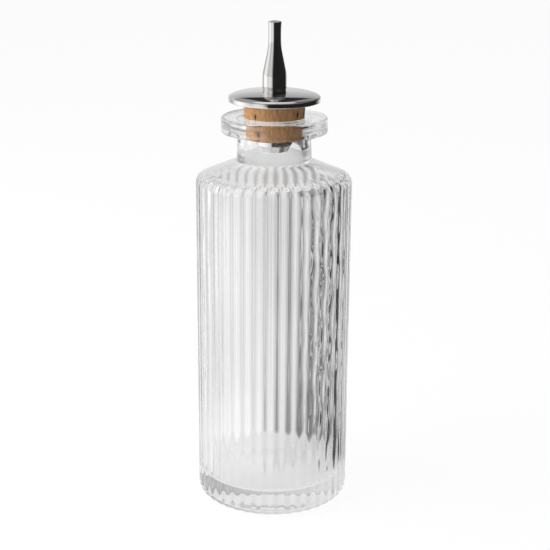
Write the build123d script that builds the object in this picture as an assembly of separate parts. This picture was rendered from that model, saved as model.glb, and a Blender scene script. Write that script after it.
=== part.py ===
from build123d import *

import math
import os

# A ribbed glass dash bottle with a cork stopper that carries a chromed dasher.
# Lengths are millimetres and angles are degrees. The bottle stands on z = 0 and
# every piece is centred on the Z axis.

# Glass bottle, outside
body_diameter = 57.0            # over the crests of the ribs
bottle_height = 145.6
heel_radius = 3.0
shoulder_corner_radius = 3.0
shoulder_slope = 23.0           # rise of the shoulder cone above the horizontal
neck_length = 10.0              # from the foot of the neck to the lip
neck_wall = 3.1                 # at the top of the neck
neck_widening = 0.4             # radial, from the top of the neck to its foot
neck_foot_fillet = 1.0
lip_overhang = 6.05             # radial, beyond the top of the neck
lip_thickness = 5.8
lip_underside_fillet = 0.6
lip_edge_radius = 0.9

# Vertical ribs round the body
rib_count = 42
rib_height = 0.3                # from the bottom of a groove to the crest of a rib
round_margin = 0.02             # how far the round of the body lies outside the crests

# Underside of the bottle
base_ring_width = 5.0           # flat ring that the bottle stands on
base_recess_depth = 0.8

# Glass bottle, inside
wall_thickness = 3.4            # from the crest of a rib to the inside
shoulder_thickness = 2.0
floor_height = 8.5
inner_heel_radius = 3.0
inner_shoulder_radius = 1.5
inner_neck_foot_radius = 5.0
bore_step = 0.2                 # radial, how much narrower the bore is than the cork's end
mouth_edge_radius = 0.7

# Cork
cork_length = 13.2
cork_bottom_diameter = 20.6
cork_widening = 0.95            # radial, from the cork's lower end to its top
cork_insertion = 7.8            # length of cork below the mouth
cork_edge_radius = 0.5
cork_fit_clearance = 0.05       # radial, between the cork and its seat in the neck

# Flange: the domed disc that covers the cork
flange_diameter = 33.2
flange_rim_thickness = 1.4
flange_dome_height = 2.75
flange_rim_edge_radius = 0.3

# Dasher spout
spout_length = 24.3
spout_barrel_diameter = 8.8
spout_foot_diameter = 8.3
spout_foot_height = 1.4         # stretch over which the foot widens to the barrel
spout_barrel_height = 5.6       # from the foot to where the taper starts
spout_taper_height = 9.8
spout_neck_diameter = 4.6
spout_lip_diameter = 4.9
spout_lip_height = 2.6
spout_lip_edge_radius = 0.5
spout_barrel_bend_radius = 11.0
spout_neck_bend_radius = 30.0
spout_bore_diameter = 2.5
spout_wall = 1.15
socket_depth = 6.0              # how far the stem tube reaches into the spout

# Stem tube through the cork
stem_diameter = 6.0
stem_bore_diameter = 4.4
stem_fit_clearance = 0.05       # radial, wherever the tube passes through or into a piece

# Retaining ferrule under the cork
ferrule_diameter = 13.4
ferrule_height = 4.6
ferrule_band_height = 2.4       # straight band below the cork
ferrule_nose_diameter = 10.4
ferrule_edge_radius = 0.4
ferrule_floor_thickness = 0.9
ferrule_inlet_diameter = 3.4

# Dash insert: the small plug that lets the liquid out a dash at a time
insert_height = 3.0
insert_hole_diameter = 1.2

# Overrun that carries a cutting solid past the face it cuts
cut_overrun = 1.0

# Radii and levels that several pieces share
body_radius = body_diameter / 2
cork_bottom_radius = cork_bottom_diameter / 2
cork_top_radius = cork_bottom_radius + cork_widening
neck_bore_radius = cork_bottom_radius - bore_step
neck_top_radius = neck_bore_radius + neck_wall
neck_foot_radius = neck_top_radius + neck_widening
lip_radius = neck_top_radius + lip_overhang
mouth_height = bottle_height
lip_bottom = mouth_height - lip_thickness
neck_foot_height = lip_bottom - neck_length
cork_bottom_height = mouth_height - cork_insertion
cork_top_height = cork_bottom_height + cork_length
ferrule_bottom_height = cork_bottom_height - ferrule_height
ferrule_floor_top = ferrule_bottom_height + ferrule_floor_thickness
flange_rim_top = cork_top_height + flange_rim_thickness
cork_taper = cork_widening / cork_length


def flange_height_at(radius):
    """Height of the flange's domed top, a quarter ellipse from the rim to the axis."""
    reach = radius / (flange_diameter / 2)
    return flange_rim_top + flange_dome_height * math.sqrt(1 - reach * reach)


# The spout stands on a small flat at the middle of the flange
spout_seat_radius = spout_foot_diameter / 2
spout_foot_level = flange_height_at(spout_seat_radius)
spout_tip_height = spout_foot_level + spout_length
stem_top_height = spout_foot_level + socket_depth


def turned(*outline):
    """Turn a closed outline of (radius, height, corner radius) points round the Z axis."""
    points = [(radius, height) for radius, height, corner in outline]
    corners = [corner for radius, height, corner in outline]
    face = make_face(FilletPolyline(*points, radius=corners, close=True))
    return revolve(Plane.XZ * face, axis=Axis.Z)


def upright_cylinder(diameter, bottom, top):
    """A cylinder on the Z axis between two heights."""
    base = (Align.CENTER, Align.CENTER, Align.MIN)
    return Pos(0, 0, bottom) * Cylinder(diameter / 2, top - bottom, align=base)


def ribbed_prism(height):
    """A column whose section is a gentle wave: outward arcs are ribs, inward arcs are grooves."""
    groove_radius = body_radius - rib_height
    middle_radius = body_radius - rib_height / 2
    pitch = 360 / rib_count
    arcs = []
    for rib in range(rib_count):
        crest_angle = rib * pitch
        rise = Vector(middle_radius, 0).rotate(Axis.Z, crest_angle - pitch / 4)
        crest = Vector(body_radius, 0).rotate(Axis.Z, crest_angle)
        fall = Vector(middle_radius, 0).rotate(Axis.Z, crest_angle + pitch / 4)
        groove = Vector(groove_radius, 0).rotate(Axis.Z, crest_angle + pitch / 2)
        next_rise = Vector(middle_radius, 0).rotate(Axis.Z, crest_angle + pitch * 3 / 4)
        arcs.append(ThreePointArc(rise, crest, fall))
        arcs.append(ThreePointArc(fall, groove, next_rise))
    return extrude(make_face(arcs), height)


def bottle_outside():
    """The smooth outside of the bottle: body, shoulder cone, neck and flat lip."""
    round_radius = body_radius + round_margin
    shoulder_rise = (body_radius - neck_foot_radius) * math.tan(math.radians(shoulder_slope))
    ring_inner_radius = body_radius - heel_radius - base_ring_width
    return turned(
        (0, base_recess_depth, 0),
        (ring_inner_radius, base_recess_depth, base_recess_depth / 2),
        (ring_inner_radius + base_recess_depth, 0, base_recess_depth / 2),
        (round_radius, 0, heel_radius),
        (round_radius, neck_foot_height - shoulder_rise, shoulder_corner_radius),
        (neck_foot_radius, neck_foot_height, neck_foot_fillet),
        (neck_top_radius, lip_bottom, lip_underside_fillet),
        (lip_radius, lip_bottom, lip_edge_radius),
        (lip_radius, mouth_height, lip_edge_radius),
        (0, mouth_height, 0),
    )


def bottle_inside():
    """The hollow of the bottle, with a cork seat that follows the cork's taper."""
    hollow_radius = body_radius - wall_thickness
    slope = math.radians(shoulder_slope)
    cone_drop = shoulder_thickness / math.cos(slope)
    bore_start = neck_foot_height - cone_drop + (neck_foot_radius - neck_bore_radius) * math.tan(slope)
    cone_start = neck_foot_height - cone_drop - (hollow_radius - neck_foot_radius) * math.tan(slope)
    seat_bottom_radius = cork_bottom_radius + cork_fit_clearance
    seat_mouth_radius = seat_bottom_radius + cork_taper * cork_insertion
    seat_end = cork_bottom_height - (seat_bottom_radius - neck_bore_radius) / cork_taper
    flared_mouth_radius = seat_mouth_radius + mouth_edge_radius
    return turned(
        (0, floor_height, 0),
        (hollow_radius, floor_height, inner_heel_radius),
        (hollow_radius, cone_start, inner_shoulder_radius),
        (neck_bore_radius, bore_start, inner_neck_foot_radius),
        (neck_bore_radius, seat_end, 0),
        (seat_mouth_radius, mouth_height, mouth_edge_radius),
        (flared_mouth_radius, mouth_height, 0),
        (flared_mouth_radius, mouth_height + cut_overrun, 0),
        (0, mouth_height + cut_overrun, 0),
    )


def glass_bottle():
    """The moulded bottle. The ribs fade into the smooth shoulder and heel in arches."""
    return (bottle_outside() & ribbed_prism(bottle_height)) - bottle_inside()


def cork_stopper():
    """The tapered cork, bored for the stem tube."""
    cork = turned(
        (0, cork_bottom_height, 0),
        (cork_bottom_radius, cork_bottom_height, cork_edge_radius),
        (cork_top_radius, cork_top_height, cork_edge_radius),
        (0, cork_top_height, 0),
    )
    hole_diameter = stem_diameter + 2 * stem_fit_clearance
    hole_start = cork_bottom_height - cut_overrun
    return cork - upright_cylinder(hole_diameter, hole_start, cork_top_height + cut_overrun)


def flange():
    """The domed disc on top of the cork, with a flat where the spout stands."""
    rim_radius = flange_diameter / 2
    centre = (0, flange_rim_top)
    dome = Line((0, cork_top_height), (rim_radius, cork_top_height))
    rim = Line((rim_radius, cork_top_height), (rim_radius, flange_rim_top))
    top = EllipticalCenterArc(centre, rim_radius, flange_dome_height, arc_size=90)
    axis_side = Line((0, flange_rim_top + flange_dome_height), (0, cork_top_height))
    disc = revolve(Plane.XZ * make_face([dome, rim, top, axis_side]), axis=Axis.Z)
    lower_rim_edge = disc.edges().filter_by(GeomType.CIRCLE).sort_by(Axis.Z)[0]
    disc = fillet(lower_rim_edge, flange_rim_edge_radius)
    flat = upright_cylinder(spout_foot_diameter, spout_foot_level, spout_tip_height)
    hole_diameter = stem_diameter + 2 * stem_fit_clearance
    hole_start = cork_top_height - cut_overrun
    return disc - flat - upright_cylinder(hole_diameter, hole_start, spout_tip_height)


def dasher_spout():
    """The turned spout: a round barrel that tapers to a slim neck with a small lip."""
    barrel_radius = spout_barrel_diameter / 2
    neck_radius = spout_neck_diameter / 2
    lip_radius = spout_lip_diameter / 2
    taper_start = spout_foot_level + spout_barrel_height
    taper_end = taper_start + spout_taper_height
    outside = turned(
        (0, spout_foot_level, 0),
        (spout_foot_diameter / 2, spout_foot_level, 0),
        (barrel_radius, spout_foot_level + spout_foot_height, spout_foot_height),
        (barrel_radius, taper_start, spout_barrel_bend_radius),
        (neck_radius, taper_end, spout_neck_bend_radius),
        (neck_radius, spout_tip_height - spout_lip_height, spout_lip_height),
        (lip_radius, spout_tip_height, spout_lip_edge_radius),
        (0, spout_tip_height, 0),
    )
    socket_radius = stem_diameter / 2 + stem_fit_clearance
    bore_radius = spout_bore_diameter / 2
    throat_radius = min(barrel_radius - spout_wall, stem_bore_diameter / 2)
    inside = turned(
        (0, spout_foot_level - cut_overrun, 0),
        (socket_radius, spout_foot_level - cut_overrun, 0),
        (socket_radius, stem_top_height, 0),
        (throat_radius, stem_top_height, 0),
        (bore_radius, taper_end, 0),
        (bore_radius, spout_tip_height + cut_overrun, 0),
        (0, spout_tip_height + cut_overrun, 0),
    )
    return outside - inside


def stem_tube():
    """The tube that runs from the ferrule, through cork and flange, into the spout."""
    tube = upright_cylinder(stem_diameter, ferrule_floor_top, stem_top_height)
    bore_start = ferrule_floor_top - cut_overrun
    return tube - upright_cylinder(stem_bore_diameter, bore_start, stem_top_height + cut_overrun)


def retaining_ferrule():
    """The cup under the cork that holds the lower end of the stem tube."""
    outside = turned(
        (0, ferrule_bottom_height, 0),
        (ferrule_nose_diameter / 2, ferrule_bottom_height, ferrule_edge_radius),
        (ferrule_diameter / 2, cork_bottom_height - ferrule_band_height, ferrule_edge_radius),
        (ferrule_diameter / 2, cork_bottom_height, ferrule_edge_radius),
        (0, cork_bottom_height, 0),
    )
    socket_diameter = stem_diameter + 2 * stem_fit_clearance
    socket = upright_cylinder(socket_diameter, ferrule_floor_top, cork_top_height)
    inlet_start = ferrule_bottom_height - cut_overrun
    return outside - socket - upright_cylinder(ferrule_inlet_diameter, inlet_start, cork_top_height)


def dash_insert():
    """The plug in the lower end of the stem tube, with one small hole."""
    diameter = stem_bore_diameter - 2 * stem_fit_clearance
    plug = upright_cylinder(diameter, ferrule_floor_top, ferrule_floor_top + insert_height)
    hole_start = ferrule_floor_top - cut_overrun
    return plug - upright_cylinder(insert_hole_diameter, hole_start, stem_top_height)


pieces = {
    "glass_bottle": glass_bottle(),
    "cork_stopper": cork_stopper(),
    "flange": flange(),
    "dasher_spout": dasher_spout(),
    "stem_tube": stem_tube(),
    "retaining_ferrule": retaining_ferrule(),
    "dash_insert": dash_insert(),
}

os.makedirs("parts", exist_ok=True)
for name, piece in pieces.items():
    export_step(piece, f"parts/{name}.step")
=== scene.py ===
import math

import bpy
import numpy as np
from mathutils import Matrix, Vector, noise


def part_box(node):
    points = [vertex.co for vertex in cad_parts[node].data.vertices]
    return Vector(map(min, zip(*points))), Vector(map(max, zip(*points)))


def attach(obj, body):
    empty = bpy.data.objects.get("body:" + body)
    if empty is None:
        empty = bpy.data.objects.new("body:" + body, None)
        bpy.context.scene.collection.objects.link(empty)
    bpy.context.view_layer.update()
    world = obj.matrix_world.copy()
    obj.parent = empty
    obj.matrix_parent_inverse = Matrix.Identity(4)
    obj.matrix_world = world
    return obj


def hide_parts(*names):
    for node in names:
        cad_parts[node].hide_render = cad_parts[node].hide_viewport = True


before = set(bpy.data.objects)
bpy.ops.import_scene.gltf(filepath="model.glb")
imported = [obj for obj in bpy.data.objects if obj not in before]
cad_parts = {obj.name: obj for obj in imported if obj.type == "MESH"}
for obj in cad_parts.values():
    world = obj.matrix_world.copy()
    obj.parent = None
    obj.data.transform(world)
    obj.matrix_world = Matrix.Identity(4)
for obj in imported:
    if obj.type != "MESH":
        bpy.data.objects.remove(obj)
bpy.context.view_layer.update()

MM = 0.001

# Sizes read from the frame, in metres
_, bottle_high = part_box("glass_bottle")
cork_low, cork_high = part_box("cork_stopper")
flange_low, flange_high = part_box("flange")
spout_low, spout_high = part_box("dasher_spout")
ferrule_low, ferrule_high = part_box("retaining_ferrule")
_, stem_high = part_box("stem_tube")

body_radius = bottle_high.x
mouth_height = bottle_high.z

# Glass bottle, the sizes that its box does not give
rib_count = 42
rib_height = 0.3 * MM
groove_end_length = 0.5 * MM
groove_overrun = 0.3 * MM
heel_radius = 3.0 * MM
shoulder_corner_radius = 3.0 * MM
shoulder_slope = math.radians(23)
neck_foot_height = 129.8 * MM
neck_foot_radius = 13.6 * MM
neck_top_radius = 13.2 * MM
neck_foot_fillet = 1.0 * MM
lip_radius = 19.25 * MM
lip_thickness = 5.8 * MM
lip_underside_fillet = 0.6 * MM
lip_edge_radius = 0.9 * MM
base_ring_width = 5.0 * MM
base_recess_depth = 0.8 * MM
wall_thickness = 3.4 * MM
shoulder_thickness = 2.0 * MM
floor_height = 8.5 * MM
inner_heel_radius = 3.0 * MM
inner_shoulder_radius = 1.5 * MM
inner_neck_foot_radius = 7.7 * MM
neck_bore_radius = 10.1 * MM
mouth_edge_radius = 0.7 * MM

# Waves of the glass's inside. A wave has how many of it go round the bottle, the height in
# millimetres over which it turns by one of them (less than zero where it leans the other way),
# its share of the size, and its phase. The inset thickens the wall by its own share of the size.
# Where the inside narrows, the waves fade, and are gone at the fade's share of its full radius.
wave_size = 0.15 * MM
wave_inset = 0.12
wave_fade = 0.75
long_waves = (
    (3, 55, 0.10, 0.4),
    (7, -38, 0.06, 1.9),
    (11, 27, 0.045, 4.1),
    (16, -19, 0.03, 2.7),
    (23, 13, 0.015, 5.2),
)
# Short waves, round one side only. The side's angle counts from the front to the right.
short_wave_size = 0.03 * MM
short_wave_inset = 2
short_wave_side = math.radians(45)
short_wave_spread = math.radians(18)
short_waves = (
    (83, 29, 1.0, 0),
    (61, -17, 1.5, 0),
)

# Stopper
cork_bottom_radius = 10.3 * MM
cork_top_radius = 11.25 * MM
cork_edge_radius = 0.5 * MM
cork_fit_clearance = 0.05 * MM
stem_fit_clearance = 0.05 * MM
stem_bore_radius = 2.2 * MM
flange_rim_thickness = 1.4 * MM
flange_dome_height = 2.75 * MM
flange_rim_edge_radius = 0.3 * MM
spout_foot_radius = 4.15 * MM
spout_foot_height = 1.4 * MM
spout_barrel_height = 5.6 * MM
spout_taper_height = 9.8 * MM
spout_neck_radius = 2.3 * MM
spout_lip_radius = 2.45 * MM
spout_lip_height = 2.6 * MM
spout_lip_edge_radius = 0.5 * MM
spout_barrel_bend_radius = 11.0 * MM
spout_neck_bend_radius = 30.0 * MM
spout_bore_radius = 1.25 * MM
spout_bore_edge_radius = 0.15 * MM
socket_depth = 6.0 * MM
ferrule_band_height = 2.4 * MM
ferrule_nose_radius = 5.2 * MM
ferrule_edge_radius = 0.4 * MM
ferrule_floor_thickness = 0.9 * MM
ferrule_inlet_radius = 1.7 * MM

# Side of the cork. A pit's reach is its half width, as a share of the spacing. A lower profile
# gives it steeper sides and a flatter middle, a lower squash makes it longer along the cork, and
# a higher darkness darkens it nearer to its edge.
pit_spacing = 3.2 * MM
pit_depth = 0.25 * MM
pit_reach = 0.22
pit_profile = 0.7
pit_squash = 0.45
pit_darkness = 2
cork_grain_size = 0.8 * MM
cork_grain_depth = 0.02 * MM
cork_grain_falloff = 1.0
cork_grain_lacunarity = 2.0
cork_grain_octaves = 4

# How fine the meshes are: the longest run from one row of points to the next, and the columns
bottle_base_run = 4.0 * MM
bottle_body_run = 3.0 * MM
bottle_top_run = 2.0 * MM
bottle_inside_run = 1.0 * MM
columns_per_rib = 18
cork_run = 0.25 * MM
cork_columns = 288
flange_run = 0.8 * MM
flange_columns = 256
spout_run = 0.6 * MM
spout_columns = 144
ferrule_run = 0.5 * MM
ferrule_columns = 128


def linear(hex_code):
    """An sRGB hex colour as linear red, green, blue and alpha."""
    channels = [int(hex_code[i:i + 2], 16) / 255 for i in (1, 3, 5)]
    curve = lambda c: c / 12.92 if c <= 0.04045 else ((c + 0.055) / 1.055) ** 2.4
    return (*[curve(c) for c in channels], 1.0)


def add_node(tree, kind, inputs=None, **settings):
    """Adds a node with its settings. An input is a value, or an output socket to link."""
    made = tree.nodes.new(kind)
    for name, value in settings.items():
        setattr(made, name, value)
    for name, value in (inputs or {}).items():
        if isinstance(value, bpy.types.NodeSocket):
            tree.links.new(value, made.inputs[name])
        else:
            made.inputs[name].default_value = value
    return made


def new_material(name):
    """An empty node material and its tree."""
    material = bpy.data.materials.new(name)
    material.use_nodes = True
    material.node_tree.nodes.clear()
    return material, material.node_tree


def soda_lime_glass():
    """Soda-lime container glass, blown in a mould and fire-polished: clear and bright, with a
    faint ripple that bends what is seen through it."""
    material, tree = new_material("soda_lime_glass")
    ripple_length = 9 * MM
    place = add_node(tree, "ShaderNodeTexCoord").outputs["Object"]
    ripple = add_node(tree, "ShaderNodeTexNoise", {
        "Vector": place,
        "Scale": 1 / ripple_length,
        "Detail": 1.0,
    })
    bump = add_node(tree, "ShaderNodeBump", {
        "Height": ripple.outputs["Fac"],
        "Strength": 0.1,
        "Distance": 0.1 * MM,
    })
    glass = add_node(tree, "ShaderNodeBsdfPrincipled", {
        "Base Color": linear("#FEFEFE"),
        "Roughness": 0.0,
        "IOR": 1.52,
        "Transmission Weight": 1.0,
        "Normal": bump.outputs["Normal"],
    })
    add_node(tree, "ShaderNodeOutputMaterial", {"Surface": glass.outputs["BSDF"]})
    return material


def chrome_plate():
    """Bright nickel-chrome plating over turned brass: mirror bright, with a trace of polishing
    haze that softens the edges of reflections here and there."""
    material, tree = new_material("polished_chrome_plate")
    haze_size = 1.5 * MM
    place = add_node(tree, "ShaderNodeTexCoord").outputs["Object"]
    haze = add_node(tree, "ShaderNodeTexNoise", {
        "Vector": place,
        "Scale": 1 / haze_size,
        "Detail": 4.0,
    })
    roughness = add_node(tree, "ShaderNodeMapRange", {
        "Value": haze.outputs["Fac"],
        "To Min": 0.015,
        "To Max": 0.04,
    })
    chrome = add_node(tree, "ShaderNodeBsdfPrincipled", {
        "Base Color": linear("#E0DFDD"),
        "Metallic": 1.0,
        "Roughness": roughness.outputs["Result"],
    })
    add_node(tree, "ShaderNodeOutputMaterial", {"Surface": chrome.outputs["BSDF"]})
    return material


def natural_cork():
    """Natural bark cork, cut and ground to a taper: matt warm tan, streaked along its length, and
    dark in the lenticel pits."""
    material, tree = new_material("natural_cork")
    streak_width = 0.9 * MM
    grain_size = 0.35 * MM
    place = add_node(tree, "ShaderNodeTexCoord").outputs["Object"]
    stretched = add_node(tree, "ShaderNodeVectorMath", {
        0: place,
        1: (1.0, 1.0, 0.22),
    }, operation="MULTIPLY")
    streaks = add_node(tree, "ShaderNodeTexNoise", {
        "Vector": stretched.outputs[0],
        "Scale": 1 / streak_width,
        "Detail": 6.0,
        "Roughness": 0.65,
    })
    grain = add_node(tree, "ShaderNodeTexNoise", {
        "Vector": place,
        "Scale": 1 / grain_size,
        "Detail": 5.0,
    })
    both = add_node(tree, "ShaderNodeMix", {
        "Factor": 0.35,
        2: streaks.outputs["Fac"],
        3: grain.outputs["Fac"],
    })
    tone = add_node(tree, "ShaderNodeValToRGB", {"Fac": both.outputs[0]})
    shades = ((0.33, "#7E5633"), (0.48, "#AD7F52"), (0.66, "#C99E70"))
    elements = tone.color_ramp.elements
    elements.new(0.5)
    for element, (position, hex_code) in zip(elements, shades):
        element.position = position
        element.color = linear(hex_code)
    pit = add_node(tree, "ShaderNodeAttribute", attribute_name="pit_depth")
    colour = add_node(tree, "ShaderNodeMix", {
        "Factor": pit.outputs["Fac"],
        6: tone.outputs["Color"],
        7: linear("#3A2416"),
    }, data_type="RGBA")
    bump = add_node(tree, "ShaderNodeBump", {
        "Height": both.outputs[0],
        "Strength": 0.5,
        "Distance": 0.15 * MM,
    })
    cork = add_node(tree, "ShaderNodeBsdfPrincipled", {
        "Base Color": colour.outputs[2],
        "Roughness": 0.7,
        "Normal": bump.outputs["Normal"],
    })
    add_node(tree, "ShaderNodeOutputMaterial", {"Surface": cork.outputs["BSDF"]})
    return material


def drawn_steel():
    """Stainless tube drawn through a die: satin, with fine lines along its length. Real lines are
    finer, these are as coarse as they need to be to show."""
    material, tree = new_material("drawn_stainless_tube")
    line_width = 0.12 * MM
    place = add_node(tree, "ShaderNodeTexCoord").outputs["Object"]
    stretched = add_node(tree, "ShaderNodeVectorMath", {
        0: place,
        1: (1.0, 1.0, 0.02),
    }, operation="MULTIPLY")
    lines = add_node(tree, "ShaderNodeTexNoise", {
        "Vector": stretched.outputs[0],
        "Scale": 1 / line_width,
    })
    roughness = add_node(tree, "ShaderNodeMapRange", {
        "Value": lines.outputs["Fac"],
        "To Min": 0.2,
        "To Max": 0.42,
    })
    steel = add_node(tree, "ShaderNodeBsdfPrincipled", {
        "Base Color": linear("#C4C3C0"),
        "Metallic": 1.0,
        "Roughness": roughness.outputs["Result"],
    })
    add_node(tree, "ShaderNodeOutputMaterial", {"Surface": steel.outputs["BSDF"]})
    return material


def moulded_polyethylene():
    """Polyethylene, injection moulded: milky white and waxy, with the mould's faint grain."""
    material, tree = new_material("moulded_polyethylene")
    grain_size = 0.2 * MM
    place = add_node(tree, "ShaderNodeTexCoord").outputs["Object"]
    grain = add_node(tree, "ShaderNodeTexNoise", {
        "Vector": place,
        "Scale": 1 / grain_size,
    })
    bump = add_node(tree, "ShaderNodeBump", {
        "Height": grain.outputs["Fac"],
        "Strength": 0.2,
        "Distance": 0.02 * MM,
    })
    plastic = add_node(tree, "ShaderNodeBsdfPrincipled", {
        "Base Color": linear("#ECEBE6"),
        "Roughness": 0.45,
        "Normal": bump.outputs["Normal"],
    })
    add_node(tree, "ShaderNodeOutputMaterial", {"Surface": plastic.outputs["BSDF"]})
    return material


def rounded(*corners, step=math.radians(7)):
    """Points (radius, height) along straight runs. A corner is (radius, height, rounding), and
    step is the most that an arc turns from one point to the next."""
    points = [Vector(corner[:2]) for corner in corners]
    roundings = [rounding for _, _, rounding in corners[1:-1]]
    path = [points[0]]
    for before, corner, after, rounding in zip(points, points[1:], points[2:], roundings):
        if rounding == 0:
            path.append(corner)
            continue
        back = (before - corner).normalized()
        ahead = (after - corner).normalized()
        turn = math.pi - back.angle(ahead)
        reach = rounding * math.tan(turn / 2)
        centre = corner + (back + ahead).normalized() * (rounding / math.cos(turn / 2))
        start = corner + back * reach - centre
        side = 1 if start.y * back.x - start.x * back.y > 0 else -1
        steps = max(2, math.ceil(turn / step))
        for i in range(steps + 1):
            path.append(centre + Matrix.Rotation(side * turn * i / steps, 2) @ start)
    path.append(points[-1])
    return path


def divided(path, longest):
    """The same path with no run longer than the given length."""
    out = [path[0]]
    for start, end in zip(path, path[1:]):
        pieces = max(1, math.ceil((end - start).length / longest))
        out += [start.lerp(end, i / pieces) for i in range(1, pieces + 1)]
    return out


def flowed(path, passes):
    """The same path with its bends eased in, as glass flows. Both ends stay."""
    for _ in range(passes):
        middles = [
            (before + 2 * point + after) / 4
            for before, point, after in zip(path, path[1:], path[2:])
        ]
        path = [path[0], *middles, path[-1]]
    return path


def turned_mesh(name, radii, heights, closed=False):
    """A mesh of rows of points round the Z axis. radii has a row for each height and a column for
    each direction, from the front to the right. heights has the same form, or one value for each
    row. Open rows end on the axis at both ends, closed ones are a ring."""
    rows, columns = radii.shape
    angle = np.arange(columns) * (2 * math.pi / columns) - math.pi / 2
    x = radii * np.cos(angle)
    y = radii * np.sin(angle)
    z = heights if heights.ndim == 2 else np.repeat(heights[:, None], columns, axis=1)
    vertices = np.stack([x, y, z], axis=2).reshape(-1, 3).tolist()
    index = np.arange(rows * columns).reshape(rows, columns)
    following = np.roll(index, -1, axis=0) if closed else index[1:]
    first = index if closed else index[:-1]
    quads = np.stack([first, np.roll(first, -1, 1), np.roll(following, -1, 1), following], axis=2)
    faces = quads.reshape(-1, 4).tolist()
    if not closed:
        for row, flip in ((0, True), (-1, False)):
            vertices.append((0.0, 0.0, float(z[row].mean())))
            pole = len(vertices) - 1
            ring = index[row].tolist()
            ends = zip(ring, ring[1:] + ring[:1])
            faces += [(pole, b, a) if flip else (pole, a, b) for a, b in ends]
    mesh = bpy.data.meshes.new(name)
    mesh.from_pydata(vertices, [], faces)
    mesh.shade_smooth()
    mesh.set_sharp_from_angle(angle=math.radians(40))
    mesh.validate()
    piece = bpy.data.objects.new(name, mesh)
    bpy.context.scene.collection.objects.link(piece)
    return piece


def turned_ring(name, path, columns):
    """A round piece with a hole through it, from a path that closes on itself."""
    radii = np.array([point.x for point in path])
    heights = np.array([point.y for point in path])
    return turned_mesh(name, np.repeat(radii[:, None], columns, axis=1), heights, closed=True)


def dress(piece, material, node_name, body):
    """Gives a piece its material and body, and puts it in the place of a node."""
    piece.data.materials.append(material)
    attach(piece, body)
    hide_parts(node_name)


def plain_rows(path, angle):
    """Radii and heights of round rows, one for each point of the path."""
    radii = [np.full(len(angle), point.x) for point in path]
    heights = [np.full(len(angle), point.y) for point in path]
    return radii, heights


def grooved_rows(path, angle):
    """Radii and heights of the body's rows. The grooves between the ribs are a gentle wave pressed
    in square to the surface. They start on the heel in round arches, and end just past the
    shoulder's corner in flat ones."""
    pitch = 2 * math.pi / rib_count
    half_width = body_radius * pitch / 2
    across = body_radius * np.abs((angle - math.pi / 2) % pitch - pitch / 2)
    lengths = [0.0]
    for start, end in zip(path, path[1:]):
        lengths.append(lengths[-1] + (end - start).length)
    cone_start_radius = body_radius - shoulder_corner_radius * (1 - math.sin(shoulder_slope))
    corner_end = max(i for i, point in enumerate(path) if point.x > cone_start_radius)
    low_end = half_width
    high_end = lengths[corner_end] + groove_overrun - groove_end_length
    radii = []
    heights = []
    for i, point in enumerate(path):
        along = (path[min(i + 1, len(path) - 1)] - path[max(i - 1, 0)]).normalized()
        below = max(0.0, low_end - lengths[i]) / half_width
        above = max(0.0, lengths[i] - high_end) / groove_end_length
        reach = np.minimum(1.0, np.hypot(across / half_width, below + above))
        depth = rib_height * (0.5 + 0.5 * np.cos(math.pi * reach))
        radii.append(point.x - depth * along.y)
        heights.append(point.y + depth * along.x)
    return radii, heights


def waves_at(height, angle, waves):
    """The sum of the waves round the bottle at one height."""
    return sum(
        size * np.sin(around * angle + 2 * math.pi * height / (length * MM) + phase)
        for around, length, size, phase in waves
    )


def wavy_rows(path, angle, wall_radius):
    """Radii and heights of the inside's rows. The wall strays from round in long, shallow waves
    with short ones on one side, and they fade out where it bends in to the floor and the neck."""
    side = np.exp(-((angle - short_wave_side) / short_wave_spread) ** 2)
    radii, heights = plain_rows(path, angle)
    for row, point in enumerate(path):
        share = max(0.0, (point.x - wave_fade * wall_radius) / ((1 - wave_fade) * wall_radius))
        long = wave_size * (wave_inset + waves_at(point.y, angle, long_waves))
        short = short_wave_size * side * (short_wave_inset + waves_at(point.y, angle, short_waves))
        radii[row] -= share * (long + short)
    return radii, heights


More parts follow.
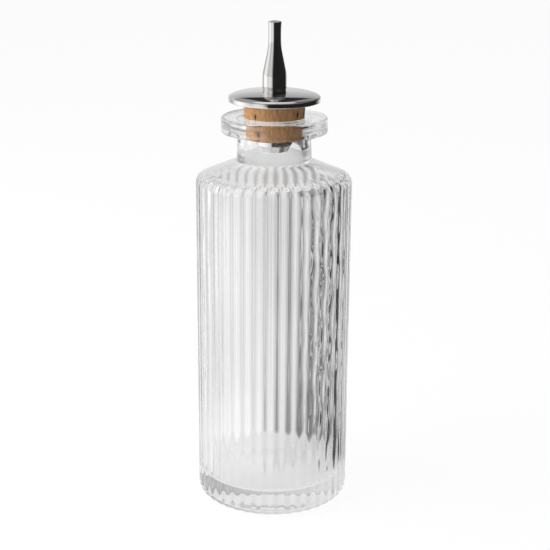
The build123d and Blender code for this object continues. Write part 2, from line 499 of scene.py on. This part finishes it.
def glass_bottle():
    """The moulded bottle: ribbed outside, smooth at the shoulder and neck, and left wavy inside
    by blowing. The recess under its base is a shallow cone."""
    columns = rib_count * columns_per_rib
    angle = np.arange(columns) * (2 * math.pi / columns)
    # How far the rows in the middle are from the axis, and the ring's last row from the heel
    middle_radius = 1.0 * MM
    heel_gap = 1.0 * MM
    ring_outer = body_radius - heel_radius - heel_gap
    recess_radius = body_radius - heel_radius - base_ring_width + base_recess_depth
    slope = math.tan(shoulder_slope)
    lip_bottom = mouth_height - lip_thickness
    shoulder_base = neck_foot_height - (body_radius - neck_foot_radius) * slope
    shoulder_end = (
        neck_foot_radius + neck_foot_fillet * 2,
        neck_foot_height - neck_foot_fillet * 2 * slope,
        0,
    )
    wall_radius = body_radius - wall_thickness
    cone_height = neck_foot_height - shoulder_thickness / math.cos(shoulder_slope)
    bore_start = cone_height + (neck_foot_radius - neck_bore_radius) * slope
    cone_start = cone_height - (wall_radius - neck_foot_radius) * slope
    cork_taper = (cork_top_radius - cork_bottom_radius) / (cork_high.z - cork_low.z)
    seat_bottom_radius = cork_bottom_radius + cork_fit_clearance
    seat_mouth_radius = seat_bottom_radius + cork_taper * (mouth_height - cork_low.z)
    seat_end = cork_low.z - (seat_bottom_radius - neck_bore_radius) / cork_taper
    under = rounded(
        (middle_radius, base_recess_depth, 0),
        (recess_radius, 0, 0),
        (ring_outer, 0, 0),
    )
    body = rounded(
        (body_radius - heel_radius, 0, 0),
        (body_radius, 0, heel_radius),
        (body_radius, shoulder_base, shoulder_corner_radius),
        shoulder_end,
        step=math.radians(3),
    )
    top = rounded(
        shoulder_end,
        (neck_foot_radius, neck_foot_height, neck_foot_fillet),
        (neck_top_radius, lip_bottom, lip_underside_fillet),
        (lip_radius, lip_bottom, lip_edge_radius),
        (lip_radius, mouth_height, lip_edge_radius),
        (seat_mouth_radius, mouth_height, mouth_edge_radius),
        (neck_bore_radius, seat_end, 0),
        step=math.radians(4),
    )
    inside = rounded(
        (neck_bore_radius, seat_end, 0),
        (neck_bore_radius, bore_start, inner_neck_foot_radius),
        (wall_radius, cone_start, inner_shoulder_radius),
        (wall_radius, floor_height, inner_heel_radius),
        (middle_radius, floor_height, 0),
    )
    inside = flowed(divided(inside, bottle_inside_run), passes=6)
    rows = [
        plain_rows(divided(under, bottle_base_run), angle),
        grooved_rows(divided(body, bottle_body_run), angle),
        plain_rows(divided(top, bottle_top_run)[1:], angle),
        wavy_rows(inside[1:], angle, wall_radius),
    ]
    radii = [ring for rings, _ in rows for ring in rings]
    heights = [level for _, levels in rows for level in levels]
    return turned_mesh("ribbed_glass_bottle", np.array(radii), np.array(heights))


def cork_stopper():
    """The bored cork. The cut of its side opens shallow lenticel pits, which the material darkens
    by their depth."""
    hole_radius = stem_high.x + stem_fit_clearance
    hole_middle = (hole_radius, (cork_low.z + cork_high.z) / 2, 0)
    path = rounded(
        hole_middle,
        (hole_radius, cork_low.z, 0),
        (cork_bottom_radius, cork_low.z, cork_edge_radius),
        (cork_top_radius, cork_high.z, cork_edge_radius),
        (hole_radius, cork_high.z, 0),
        hole_middle,
    )
    path = divided(path[:-1], cork_run)
    radii = np.repeat(np.array([point.x for point in path])[:, None], cork_columns, axis=1)
    heights = np.array([point.y for point in path])
    pits = np.zeros(radii.shape)
    grain = (cork_grain_falloff, cork_grain_lacunarity, cork_grain_octaves)
    for row, point in enumerate(path):
        if point.x < cork_bottom_radius - cork_edge_radius:
            continue
        for column in range(cork_columns):
            turn = 2 * math.pi * column / cork_columns
            x = math.cos(turn) * cork_top_radius
            y = math.sin(turn) * cork_top_radius
            place = Vector((x, y, point.y * pit_squash))
            nearest = noise.voronoi(place / pit_spacing)[0][0]
            depth = max(0.0, pit_reach - nearest) / pit_reach
            rough = abs(noise.fractal(place / cork_grain_size, *grain))
            radii[row, column] -= pit_depth * depth ** pit_profile + cork_grain_depth * rough
            pits[row, column] = min(1.0, pit_darkness * depth)
    piece = turned_mesh("cork_with_pits", radii, heights, closed=True)
    stored = piece.data.attributes.new("pit_depth", "FLOAT", "POINT")
    stored.data.foreach_set("value", pits.ravel())
    return piece


def domed_flange():
    """The polished disc: a quarter-ellipse dome over a straight rim."""
    radius = flange_high.x
    rim_top = flange_low.z + flange_rim_thickness
    hole_radius = stem_high.x + stem_fit_clearance
    under = rounded(
        (hole_radius, flange_low.z, 0),
        (radius, flange_low.z, flange_rim_edge_radius),
        (radius, rim_top, 0),
    )
    # The steps of the dome are closer together at the rim, where it bends most
    steps = 40
    crowding = 1.3
    foot_angle = math.acos(spout_foot_radius / radius)
    dome = []
    for i in range(1, steps + 1):
        angle = foot_angle * (i / steps) ** crowding
        height = rim_top + flange_dome_height * math.sin(angle)
        dome.append(Vector((radius * math.cos(angle), height)))
    seat = Vector((hole_radius, dome[-1].y))
    hole = divided([seat, under[0]], flange_run)[:-1]
    return turned_ring("domed_flange", divided(under, flange_run) + dome + hole, flange_columns)


def turned_spout():
    """The slim spout with its bore and the socket for the stem."""
    barrel_radius = spout_high.x
    foot = spout_low.z
    tip = spout_high.z
    taper_start = foot + spout_barrel_height
    taper_end = taper_start + spout_taper_height
    socket_radius = stem_high.x + stem_fit_clearance
    path = rounded(
        (socket_radius, foot, 0),
        (spout_foot_radius, foot, 0),
        (barrel_radius, foot + spout_foot_height, spout_foot_height),
        (barrel_radius, taper_start, spout_barrel_bend_radius),
        (spout_neck_radius, taper_end, spout_neck_bend_radius),
        (spout_neck_radius, tip - spout_lip_height, spout_lip_height),
        (spout_lip_radius, tip, spout_lip_edge_radius),
        (spout_bore_radius, tip, spout_bore_edge_radius),
        (spout_bore_radius, taper_end, 0),
        (stem_bore_radius, foot + socket_depth, 0),
        (socket_radius, foot + socket_depth, 0),
        (socket_radius, foot, 0),
        step=math.radians(1.5),
    )
    return turned_ring("turned_spout", divided(path[:-1], spout_run), spout_columns)


def ferrule_cup():
    """The plated cup under the cork, with the socket for the stem and the inlet in its floor."""
    socket_radius = stem_high.x + stem_fit_clearance
    floor_top = ferrule_low.z + ferrule_floor_thickness
    path = rounded(
        (ferrule_inlet_radius, ferrule_low.z, 0),
        (ferrule_nose_radius, ferrule_low.z, ferrule_edge_radius),
        (ferrule_high.x, ferrule_high.z - ferrule_band_height, ferrule_edge_radius),
        (ferrule_high.x, ferrule_high.z, ferrule_edge_radius),
        (socket_radius, ferrule_high.z, 0),
        (socket_radius, floor_top, 0),
        (ferrule_inlet_radius, floor_top, 0),
        (ferrule_inlet_radius, ferrule_low.z, 0),
    )
    return turned_ring("ferrule_cup", divided(path[:-1], ferrule_run), ferrule_columns)


glass = soda_lime_glass()
chrome = chrome_plate()
cork = natural_cork()

dress(glass_bottle(), glass, "glass_bottle", "bottle")
dress(cork_stopper(), cork, "cork_stopper", "stopper")
dress(domed_flange(), chrome, "flange", "stopper")
dress(turned_spout(), chrome, "dasher_spout", "stopper")
dress(ferrule_cup(), chrome, "retaining_ferrule", "stopper")

for node_name, material in (("stem_tube", drawn_steel()), ("dash_insert", moulded_polyethylene())):
    for material_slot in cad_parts[node_name].material_slots:
        material_slot.material = material


# Studio: a window on the left, a white sheet behind and under the bottle, a dark room on the right.
# Glass and chrome see the table and the room in levels, where 1 is white. A level goes round the
# bottle in stops, each an azimuth in degrees and the level there: 0 is straight behind the bottle,
# 90 on its right, and 180 and -180 on the camera's side. From the bottle outwards, and from the
# table's edge upwards, bands of such levels follow one another. A band has where it starts to take
# over, where it has, and its stops.

# Table, by distance in metres
table_near = (
    (-180, 0.78), (-120, 0.82), (-30, 0.88), (0, 0.78), (25, 0.65), (60, 0.8), (120, 0.8),
    (180, 0.78),
)
table_bands = (
    (0.04, 0.055, (
        (-180, 0.95), (-90, 0.95), (-60, 0.85), (-30, 1.05), (-10, 0.9), (2, 0.72), (12, 0.35),
        (22, 0.12), (37, 0.1), (44, 0.7), (54, 0.6), (61, 0.05), (95, 0.02), (130, 0.3),
        (155, 0.8), (180, 0.95),
    )),
    (0.2, 0.32, (
        (-180, 0.02), (-170, 0.02), (-160, 0.7), (-130, 1.3), (-80, 1.8), (-62, 0.75),
        (-45, 0.8), (-28, 1.1), (-10, 0.9), (2, 0.72), (12, 0.42), (22, 0.06), (30, 0.0),
        (37, 0.0), (44, 0.6), (54, 0.4), (60, 0.0), (180, 0.02),
    )),
    (0.4, 0.5, (
        (-180, 0.02), (-164, 0.02), (-161, 1.0), (-120, 1.2), (-75, 1.3), (-50, 0.8),
        (-20, 0.95), (-5, 0.85), (12, 0.4), (28, 0.1), (62, 0.06), (75, 0.02), (180, 0.02),
    )),
    (0.7, 0.76, (
        (-180, 0.02), (-165, 0.03), (-160, 0.27), (-151, 0.85), (-140, 1.0), (-130, 1.0),
        (-120, 0.8), (-109, 1.0), (-97, 1.25), (-84, 1.4), (-68, 1.2), (-56, 0.75), (-49, 0.5),
        (-20, 0.9), (30, 0.85), (50, 0.2), (58, 0.02), (180, 0.02),
    )),
)

# Room, by angle above the floor in degrees
room_low = (
    (-180, 0.02), (-165, 0.03), (-160, 0.27), (-151, 0.85), (-140, 1.0), (-130, 0.9),
    (-120, 0.75), (-109, 0.9), (-97, 1.3), (-84, 1.45), (-68, 1.3), (-56, 0.8), (-47, 0.6),
    (-20, 0.88), (0, 0.98), (15, 0.65), (29, 0.4), (36, 0.1), (58, 0.03), (180, 0.02),
)
room_bands = (
    (10, 18, (
        (-180, 0.02), (-165, 0.03), (-160, 0.27), (-140, 1.05), (-120, 0.8), (-97, 1.4),
        (-84, 1.5), (-60, 1.25), (-30, 0.84), (20, 0.67), (29, 0.4), (36, 0.08), (58, 0.03),
        (180, 0.02),
    )),
    (18, 25, (
        (-180, 0.03), (-165, 0.04), (-160, 0.27), (-140, 1.05), (-120, 0.8), (-97, 1.35),
        (-84, 1.45), (-60, 1.2), (-40, 0.95), (-20, 0.82), (-8, 0.62), (24, 0.48), (33, 0.3),
        (45, 0.1), (120, 0.1), (180, 0.03),
    )),
    (27, 30, (
        (-180, 0.2), (-110, 0.5), (-70, 0.55), (-17, 0.5), (-10, 0.04), (14, 0.04), (20, 0.45),
        (36, 0.35), (60, 0.1), (110, 0.3), (180, 0.2),
    )),
    (60, 65, (
        (-180, 0.6), (-110, 1.2), (-70, 1.3), (50, 1.2), (110, 0.6), (180, 0.6),
    )),
)

# Through glass, what lies far off has less contrast than in chrome: black and white come to these
# levels. On the table that sets in over this range of distance.
through_glass_black = 0.4
through_glass_white = 0.94
through_glass_start = 0.6
through_glass_end = 0.9

# Matt surfaces get one even level from the room. The lamp doesn't reach the cork through the glass
# of the neck, so what lights it there is levels of its own, in stops as above.
ambient_level = 0.68
cork_light = (
    (-180, 1.2), (-125, 8.5), (-70, 8.5), (-20, 1.2), (60, 0.4), (130, 0.4), (180, 1.2),
)

# How much of the floor is plain white for the camera. The rest is paint that takes the shadow.
floor_whiteness = 0.93
floor_half_width = 4.0

# The window's light on matt surfaces, in metres and watts
key_place = Vector((-0.66, -0.12, 0.4))
key_width = 0.8
key_height = 1.0
key_watts = 11.5


def level_round(tree, place, stops):
    """A level that changes round the bottle, as the stops say."""
    axes = add_node(tree, "ShaderNodeSeparateXYZ", {0: place}).outputs
    azimuth = add_node(tree, "ShaderNodeMath", {
        0: axes["X"],
        1: axes["Y"],
    }, operation="ARCTAN2")
    share = add_node(tree, "ShaderNodeMapRange", {
        "Value": azimuth.outputs[0],
        "From Min": -math.pi,
        "From Max": math.pi,
    })
    ramp = add_node(tree, "ShaderNodeValToRGB", {"Fac": share.outputs[0]})
    brightest = max(level for _, level in stops)
    levels = ramp.color_ramp.elements
    while len(levels) < len(stops):
        levels.new(0.5)
    for element, (degrees, level) in zip(levels, stops):
        element.position = degrees / 360 + 0.5
        element.color = (*[level / brightest] * 3, 1.0)
    scaled = add_node(tree, "ShaderNodeMath", {
        0: ramp.outputs["Color"],
        1: brightest,
    }, operation="MULTIPLY")
    return scaled.outputs[0]


def level_by_band(tree, place, measure, first, bands):
    """The first stops' level round the bottle, and each band's where the measure reaches it."""
    level = level_round(tree, place, first)
    for start, end, stops in bands:
        reached = add_node(tree, "ShaderNodeMapRange", {
            "Value": measure,
            "From Min": start,
            "From Max": end,
        }, interpolation_type="SMOOTHSTEP")
        level = add_node(tree, "ShaderNodeMix", {
            0: reached.outputs[0],
            2: level,
            3: level_round(tree, place, stops),
        }).outputs[0]
    return level


def level_through_glass(tree, level):
    """The same level, but with less contrast for what is seen through glass."""
    ray = add_node(tree, "ShaderNodeLightPath").outputs
    soft = add_node(tree, "ShaderNodeMapRange", {
        "Value": level,
        "To Min": through_glass_black,
        "To Max": through_glass_white,
    })
    return add_node(tree, "ShaderNodeMix", {
        0: ray["Is Transmission Ray"],
        2: level,
        3: soft.outputs[0],
    }).outputs[0]


def table_level(tree):
    """How bright the table looks in glass and chrome, from close by the bottle to far from it."""
    place = add_node(tree, "ShaderNodeNewGeometry").outputs["Position"]
    length = add_node(tree, "ShaderNodeVectorMath", {0: place}, operation="LENGTH")
    distance = length.outputs["Value"]
    level = level_by_band(tree, place, distance, table_near, table_bands)
    far = add_node(tree, "ShaderNodeMapRange", {
        "Value": distance,
        "From Min": through_glass_start,
        "From Max": through_glass_end,
    }, interpolation_type="SMOOTHSTEP")
    return add_node(tree, "ShaderNodeMix", {
        0: far.outputs[0],
        2: level,
        3: level_through_glass(tree, level),
    }).outputs[0]


def room_level(tree):
    """How bright the room looks in glass and chrome, from the table's edge to overhead."""
    direction = add_node(tree, "ShaderNodeTexCoord").outputs["Generated"]
    rise = add_node(tree, "ShaderNodeSeparateXYZ", {0: direction}).outputs["Z"]
    bands = [
        (math.sin(math.radians(start)), math.sin(math.radians(end)), stops)
        for start, end, stops in room_bands
    ]
    return level_through_glass(tree, level_by_band(tree, direction, rise, room_low, bands))


def from_glass_or_chrome(tree, ray):
    """One for a ray that comes from glass or chrome, zero for any other."""
    either = add_node(tree, "ShaderNodeMath", {
        0: ray["Is Glossy Ray"],
        1: ray["Is Transmission Ray"],
    }, operation="MAXIMUM")
    return either.outputs[0]


def studio_floor():
    """A wide pale floor that keeps the bottle's shadow. Glass and chrome see the table's levels."""
    edge = floor_half_width
    mesh = bpy.data.meshes.new("floor")
    corners = [(-edge, -edge, 0), (edge, -edge, 0), (edge, edge, 0), (-edge, edge, 0)]
    mesh.from_pydata(corners, [], [(0, 1, 2, 3)])
    floor = bpy.data.objects.new("floor", mesh)
    bpy.context.scene.collection.objects.link(floor)
    material, tree = new_material("pale_floor")
    ray = add_node(tree, "ShaderNodeLightPath").outputs
    paint = add_node(tree, "ShaderNodeBsdfDiffuse", {"Color": linear("#F4F4F4")})
    white = add_node(tree, "ShaderNodeEmission", {"Strength": 1.0})
    table = add_node(tree, "ShaderNodeEmission", {"Strength": table_level(tree)})
    whiteness = add_node(tree, "ShaderNodeMath", {
        0: ray["Is Camera Ray"],
        1: floor_whiteness,
    }, operation="MULTIPLY")
    plain = add_node(tree, "ShaderNodeMixShader", {
        0: whiteness.outputs[0],
        1: paint.outputs[0],
        2: white.outputs[0],
    })
    surface = add_node(tree, "ShaderNodeMixShader", {
        0: from_glass_or_chrome(tree, ray),
        1: plain.outputs[0],
        2: table.outputs[0],
    })
    add_node(tree, "ShaderNodeOutputMaterial", {"Surface": surface.outputs[0]})
    mesh.materials.append(material)


def studio_world():
    """White for the camera, the room's levels in glass and chrome, and an even level for matt
    surfaces. Light that the cork sees through the glass has levels of its own."""
    world = bpy.data.worlds.new("studio")
    bpy.context.scene.world = world
    world.use_nodes = True
    tree = world.node_tree
    tree.nodes.clear()
    ray = add_node(tree, "ShaderNodeLightPath").outputs
    direction = add_node(tree, "ShaderNodeTexCoord").outputs["Generated"]
    matt = add_node(tree, "ShaderNodeMix", {
        0: ray["Is Camera Ray"],
        2: ambient_level,
        3: 1.0,
    })
    clear = add_node(tree, "ShaderNodeMix", {
        0: ray["Diffuse Depth"],
        2: room_level(tree),
        3: level_round(tree, direction, cork_light),
    })
    level = add_node(tree, "ShaderNodeMix", {
        0: from_glass_or_chrome(tree, ray),
        2: matt.outputs[0],
        3: clear.outputs[0],
    })
    sky = add_node(tree, "ShaderNodeBackground", {"Strength": level.outputs[0]})
    add_node(tree, "ShaderNodeOutputWorld", {"Surface": sky.outputs[0]})


def softbox(name, place, target, width, height, watts):
    """A soft area light aimed at a point. It lights matt surfaces only: glass and chrome see the
    levels above in its place."""
    lamp = bpy.data.lights.new(name, "AREA")
    lamp.shape = "RECTANGLE"
    lamp.size = width
    lamp.size_y = height
    lamp.energy = watts
    holder = bpy.data.objects.new(name, lamp)
    bpy.context.scene.collection.objects.link(holder)
    holder.location = place
    holder.rotation_euler = (target - place).to_track_quat("-Z", "Y").to_euler()
    holder.visible_camera = False
    holder.visible_glossy = False
    holder.visible_transmission = False


studio_floor()
studio_world()
bottle_middle = Vector((0, 0, mouth_height / 2))
softbox("key_softbox", key_place, bottle_middle, key_width, key_height, key_watts)

# Camera: found from the outline of the bottle, taken as a round body
camera_distance = 466.45 * MM
camera_height = 232.0 * MM
camera_side = 0.6 * MM
camera_pitch = math.radians(17.42)
camera_roll = math.radians(0.37)
camera_turn = math.radians(-0.81)
image_size = 550
focal_pixels = 1309.4
sensor_width = 36.0

lens = bpy.data.cameras.new("camera")
lens.sensor_width = sensor_width
lens.lens = focal_pixels * sensor_width / image_size
camera = bpy.data.objects.new("camera", lens)
bpy.context.scene.collection.objects.link(camera)
stand = Matrix.Translation((camera_side, -camera_distance, camera_height))
tilt = Matrix.Rotation(math.pi / 2 - camera_pitch, 4, "X") @ Matrix.Rotation(camera_roll, 4, "Z")
camera.matrix_world = Matrix.Rotation(camera_turn, 4, "Z") @ stand @ tilt
bpy.context.scene.camera = camera
bpy.context.scene.view_settings.view_transform = "Standard"

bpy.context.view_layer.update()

# Light goes through many walls of glass and ribs before it is out again
glass_bounces = 96
bpy.context.scene.cycles.max_bounces = glass_bounces
bpy.context.scene.cycles.glossy_bounces = glass_bounces
bpy.context.scene.cycles.transmission_bounces = glass_bounces
